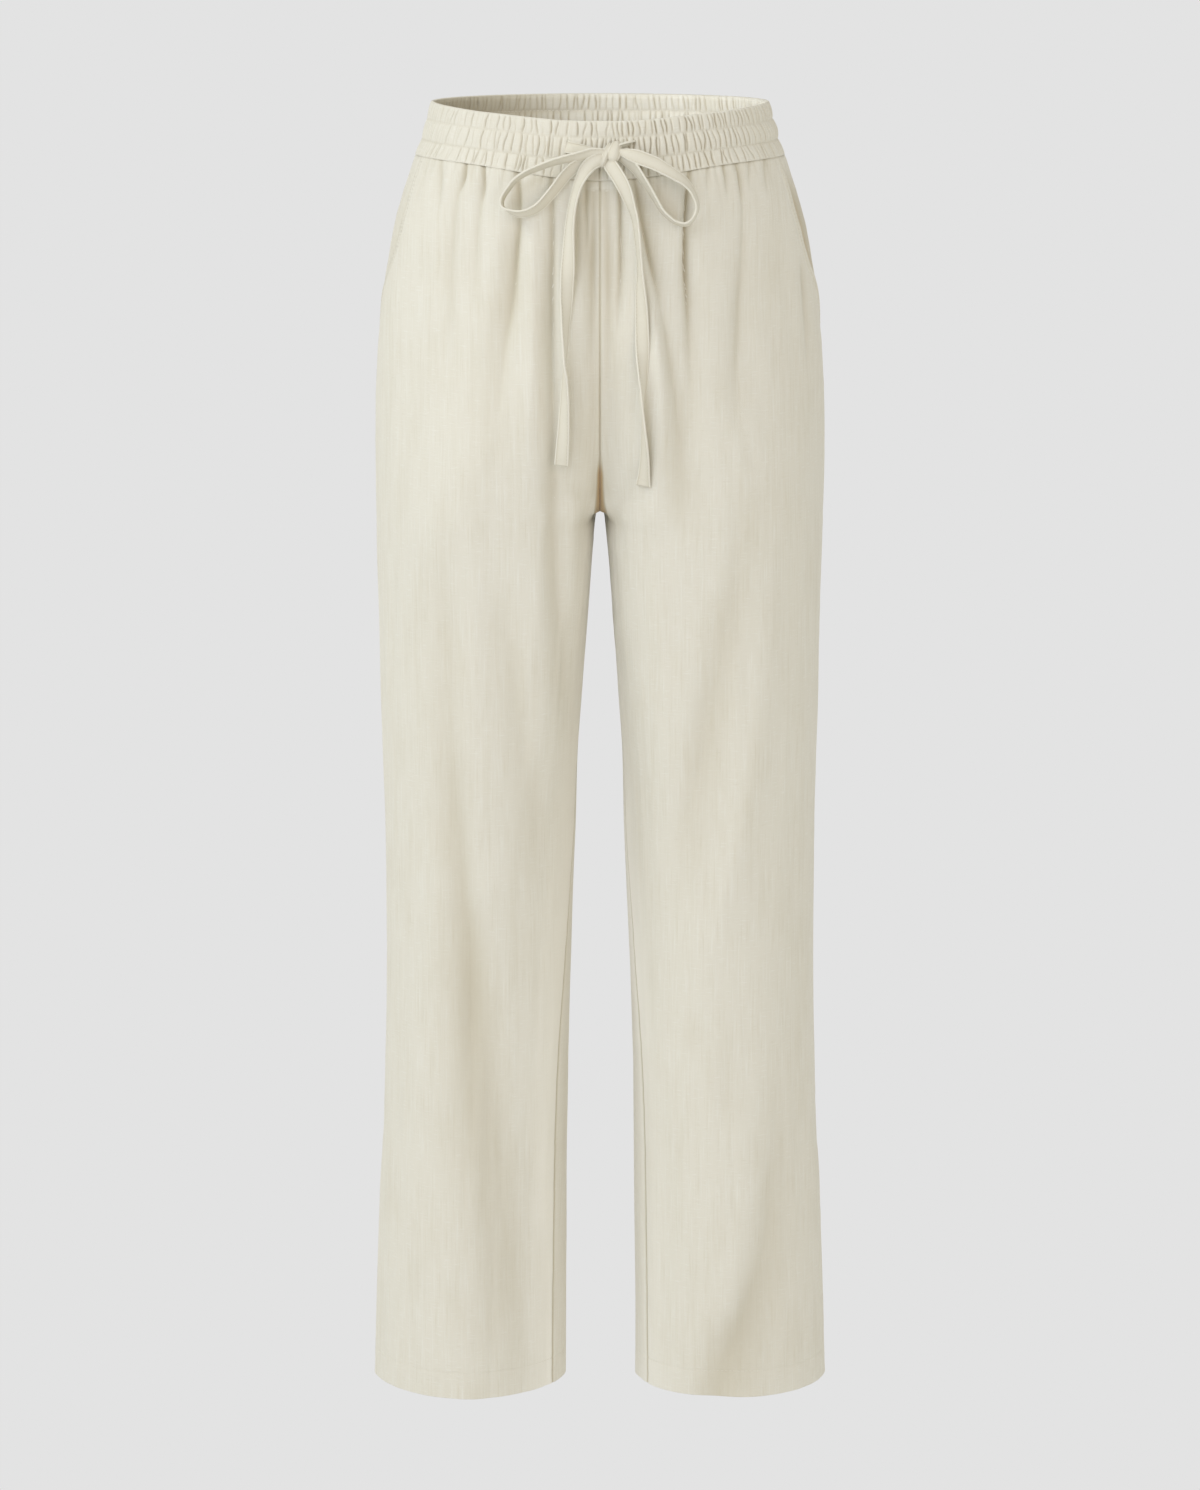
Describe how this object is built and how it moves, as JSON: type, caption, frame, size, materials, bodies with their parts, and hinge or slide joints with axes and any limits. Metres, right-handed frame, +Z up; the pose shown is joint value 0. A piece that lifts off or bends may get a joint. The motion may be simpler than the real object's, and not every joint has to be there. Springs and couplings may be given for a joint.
{
  "type": "drawstring trousers",
  "caption": "Straight-legged linen trousers with a gathered drawstring waist, slanted side pockets and a tied bow, filled out as if worn.",
  "frame": {"origin": "middle of the waist opening, halfway up the drawstring channel, where the wearer's waist holds the trousers", "axes": "+Z up, -Y is the front where the bow is tied, +X is the wearer's left"},
  "size_m": [0.3724, 0.27, 1.0406],
  "materials": {
    "linen": "matte plain weave",
    "drawstring": "matte plain weave"
  },
  "bodies": {
    "root": {"waistband": "linen", "front_left": "linen", "front_right": "linen", "back_left": "linen", "back_right": "linen", "pocket_facing_left": "linen", "pocket_facing_right": "linen", "drawstring_lead_left": "drawstring", "drawstring_lead_right": "drawstring", "bow_knot": "drawstring", "bow_loop_left": "drawstring", "bow_loop_right": "drawstring", "drawstring_tail_left": "drawstring", "drawstring_tail_right": "drawstring"}
  },
  "joints": []
}
